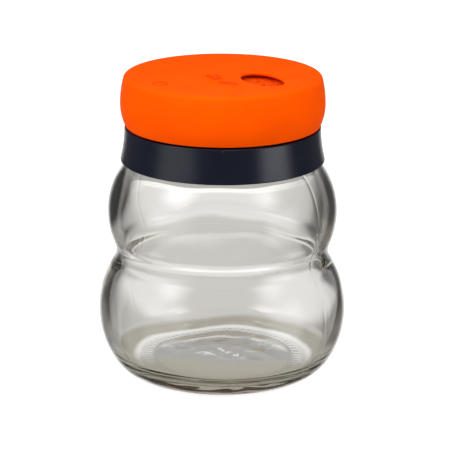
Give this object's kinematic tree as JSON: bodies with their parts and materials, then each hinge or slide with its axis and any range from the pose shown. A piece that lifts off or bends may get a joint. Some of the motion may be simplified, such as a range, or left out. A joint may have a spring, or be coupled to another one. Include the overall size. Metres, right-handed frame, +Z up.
{
  "type": "spice jar",
  "caption": "Clear glass spice jar with two swelling bands, a dark screw collar and a rotating shaker dial with an oval window.",
  "frame": {"origin": "middle of the foot ring, on the surface that the jar stands on", "axes": "+Z up along the jar's axis, -Y towards the front index pip, +X to the right seen from the front"},
  "size_m": [0.0762, 0.0762, 0.0939],
  "materials": {
    "clear_glass": "polished clear glass",
    "seal": "soft, matt",
    "navy_plastic": "glossy moulded",
    "insert_plastic": "satin moulded",
    "orange_plastic": "satin moulded"
  },
  "bodies": {
    "jar": {"glass_jar": "clear_glass"},
    "seal": {"seal_ring": "seal"},
    "lid": {"screw_collar": "navy_plastic", "shaker_insert": "insert_plastic"},
    "dial": {"shaker_dial": "orange_plastic"}
  },
  "joints": [
    {"name": "lid_rise", "type": "slide", "parent": "jar", "child": "seal", "axis": [0, 0, 1], "range_m": [0, 0.018]},
    {"name": "lid_turn", "type": "hinge", "parent": "seal", "child": "lid", "pos_m": [0, 0, 0.0765], "axis": [0, 0, 1], "range_deg": [0, 810]},
    {"name": "dial_turn", "type": "hinge", "parent": "lid", "child": "dial", "pos_m": [0, 0, 0.091], "axis": [0, 0, 1], "range_deg": [-90, 90]}
  ],
  "couplings": [
    {"joint": "lid_rise", "follows": "lid_turn", "m_per_rad": 0.0012732}
  ]
}
